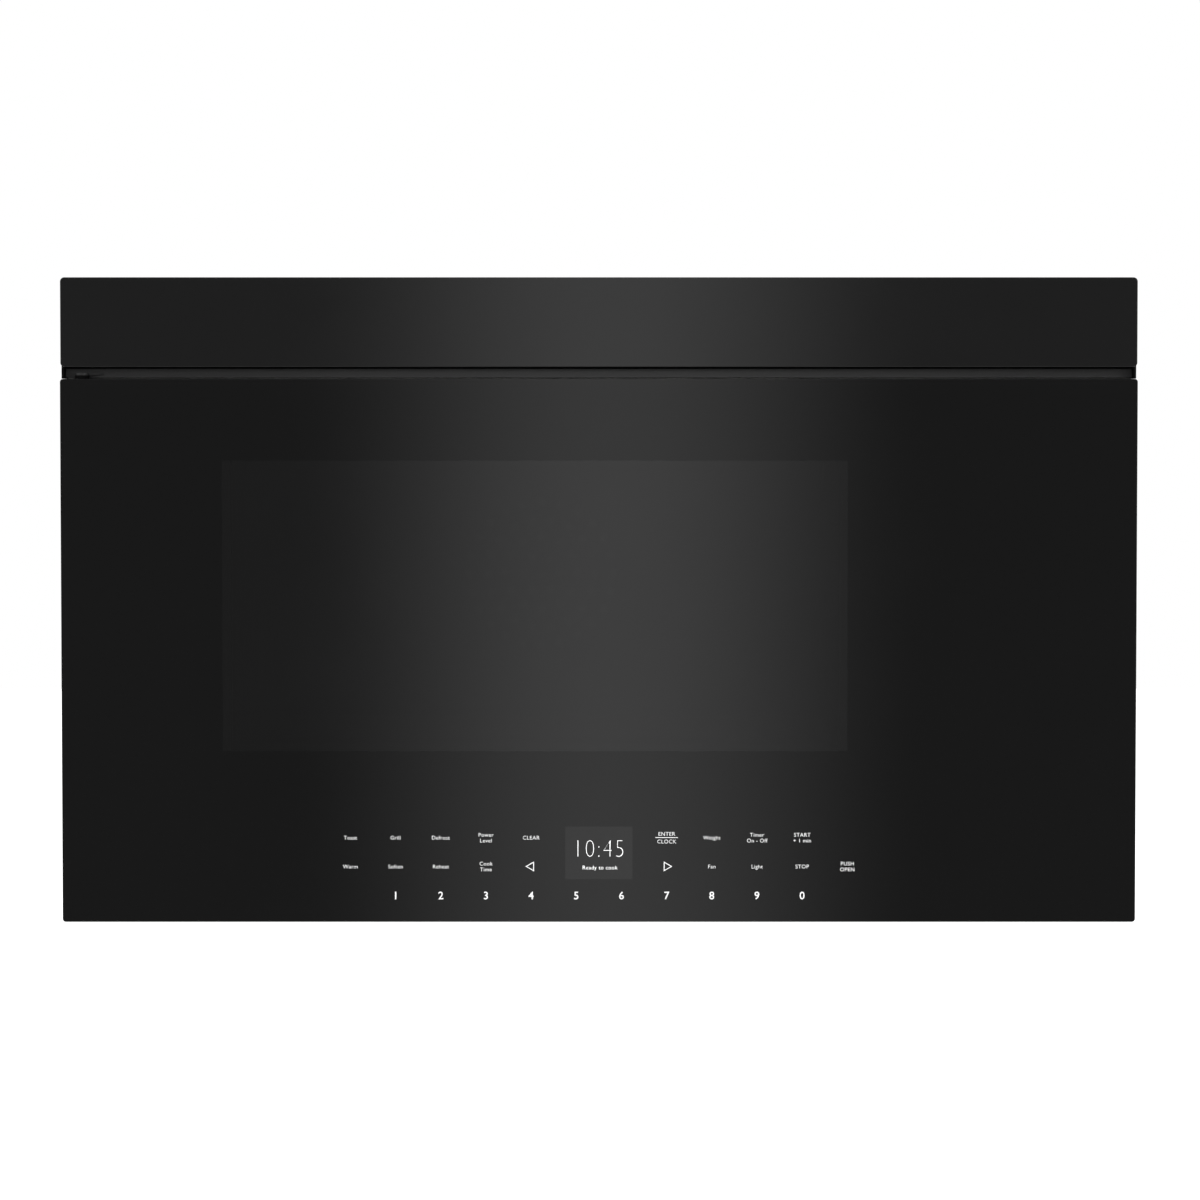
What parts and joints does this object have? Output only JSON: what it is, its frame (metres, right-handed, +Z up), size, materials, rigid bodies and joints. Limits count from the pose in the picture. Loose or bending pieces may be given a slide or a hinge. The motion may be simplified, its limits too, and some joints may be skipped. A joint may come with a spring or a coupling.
{
  "type": "over the range microwave",
  "caption": "Flush built-in microwave oven hung over a cooktop, with a full-width glass door hinged on the left, a vent panel on top, an extractor blower, side racks and a convection fan.",
  "frame": {"origin": "on the wall plane, at the middle of the wall plate's lower edge, level with the cabinet's underside", "axes": "+X to the right as seen from the kitchen, +Y back into the wall, +Z up; the door faces -Y"},
  "size_m": [0.76, 0.4, 0.456],
  "materials": {
    "painted_case": "satin black enamel on sheet steel",
    "zinc_sheet": "bare galvanised sheet steel",
    "cavity_enamel": "dark grey vitreous enamel on steel",
    "stainless": "brushed stainless steel",
    "steel_part": "plain machined or pressed steel",
    "chrome_wire": "bright chrome plate",
    "aluminium_part": "bare aluminium",
    "black_glass": "dark tinted, back printed safety glass, glossy",
    "clear_glass": "clear heat resistant glass",
    "lens": "frosted lamp glass",
    "ceramic_plate": "satin glass ceramic",
    "black_plastic": "moulded black plastic",
    "gloss_black": "gloss black moulding",
    "grey_plastic": "moulded grey plastic",
    "white_plastic": "moulded white plastic",
    "green_board": "printed circuit board",
    "copper_winding": "enamelled copper winding and ferrite",
    "silicone": "grey silicone rubber",
    "heater_tube": "heat darkened steel tube",
    "wool": "mineral wool blanket",
    "charcoal": "activated charcoal in a mesh",
    "lit_display": "dark display module"
  },
  "bodies": {
    "cabinet": {"air_strip": "painted_case", "antenna_motor": "steel_part", "back_panel": "zinc_sheet", "blower_housings": "grey_plastic", "blower_motor": "steel_part", "bottom_pan": "painted_case", "cabinet_shell": "painted_case", "cavity_insulation": "wool", "cavity_lamp": "lens", "ceramic_floor_plate": "ceramic_plate", "ceramic_floor_seal": "silicone", "charcoal_filter": "charcoal", "convection_heater": "heater_tube", "convection_motor": "steel_part", "convection_pan": "zinc_sheet", "cooktop_lamp_lenses": "lens", "cooktop_lamps": "white_plastic", "cooling_fan_frame": "black_plastic", "damper_frame": "zinc_sheet", "door_switches": "black_plastic", "front_face_plate": "painted_case", "grease_filters": "aluminium_part", "grill_element": "heater_tube", "grill_element_clips": "steel_part", "hinge_brackets": "painted_case", "hinge_screws": "steel_part", "inverter_board": "green_board", "inverter_heat_sink": "aluminium_part", "inverter_transformer": "copper_winding", "inverter_tray": "zinc_sheet", "latch_body": "white_plastic", "magnetron_anode": "aluminium_part", "magnetron_yoke": "zinc_sheet", "main_control_board": "green_board", "mains_filter_board": "green_board", "oven_cavity": "cavity_enamel", "power_cord_gland": "black_plastic", "release_solenoid": "steel_part", "side_racks": "chrome_wire", "thermal_cutouts": "steel_part", "top_nut_plates": "steel_part", "vent_panel": "gloss_black", "wall_mounting_plate": "zinc_sheet", "waveguide": "zinc_sheet"},
    "door": {"door_glass": "black_glass", "door_frame": "black_plastic", "choke_panel": "painted_case", "choke_cover": "black_plastic", "inner_window": "clear_glass", "touch_key_board": "green_board", "display_module": "lit_display"},
    "latch": {"latch_bar": "white_plastic"},
    "switch_buttons": {"door_switch_buttons": "white_plastic"},
    "lever": {"release_lever": "white_plastic"},
    "plunger": {"solenoid_plunger": "steel_part"},
    "flap": {"damper_flap": "aluminium_part"},
    "blower": {"blower_rotor": "black_plastic"},
    "cooler": {"cooling_fan_blades": "grey_plastic"},
    "convection": {"convection_fan": "stainless"},
    "antenna": {"antenna_rotor": "aluminium_part"}
  },
  "joints": [
    {"name": "door_swing", "type": "hinge", "parent": "cabinet", "child": "door", "pos_m": [-0.3655, -0.39, 0.19], "axis": [0, 0, -1], "range_deg": [0, 100]},
    {"name": "latch_drop", "type": "slide", "parent": "door", "child": "latch", "axis": [0, 0, -1], "range_m": [0, 0.006]},
    {"name": "switch_press", "type": "slide", "parent": "cabinet", "child": "switch_buttons", "axis": [0, 0, -1], "range_m": [0, 0.0015]},
    {"name": "solenoid_pull", "type": "slide", "parent": "cabinet", "child": "plunger", "axis": [0, 0, -1], "range_m": [0, 0.0024]},
    {"name": "lever_swing", "type": "hinge", "parent": "cabinet", "child": "lever", "pos_m": [0.345, -0.322, 0.048], "axis": [-1, 0, 0], "range_deg": [0, 7.8]},
    {"name": "damper_swing", "type": "hinge", "parent": "cabinet", "child": "flap", "pos_m": [0, -0.0375, 0.446], "axis": [-1, 0, 0], "range_deg": [0, 75]},
    {"name": "blower_spin", "type": "hinge", "parent": "cabinet", "child": "blower", "pos_m": [0, -0.075, 0.401], "axis": [1, 0, 0], "continuous": true},
    {"name": "cooling_fan_spin", "type": "hinge", "parent": "cabinet", "child": "cooler", "pos_m": [0.3, -0.092, 0.14], "axis": [0, -1, 0], "continuous": true},
    {"name": "convection_fan_spin", "type": "hinge", "parent": "cabinet", "child": "convection", "pos_m": [-0.045, -0.055, 0.2325], "axis": [0, -1, 0], "continuous": true},
    {"name": "antenna_spin", "type": "hinge", "parent": "cabinet", "child": "antenna", "pos_m": [-0.045, -0.2245, 0.11], "axis": [0, 0, 1], "continuous": true}
  ],
  "couplings": [
    {"joint": "switch_press", "follows": "latch_drop", "ratio": 0.25},
    {"joint": "lever_swing", "follows": "solenoid_pull", "rad_per_m": 56.7}
  ]
}
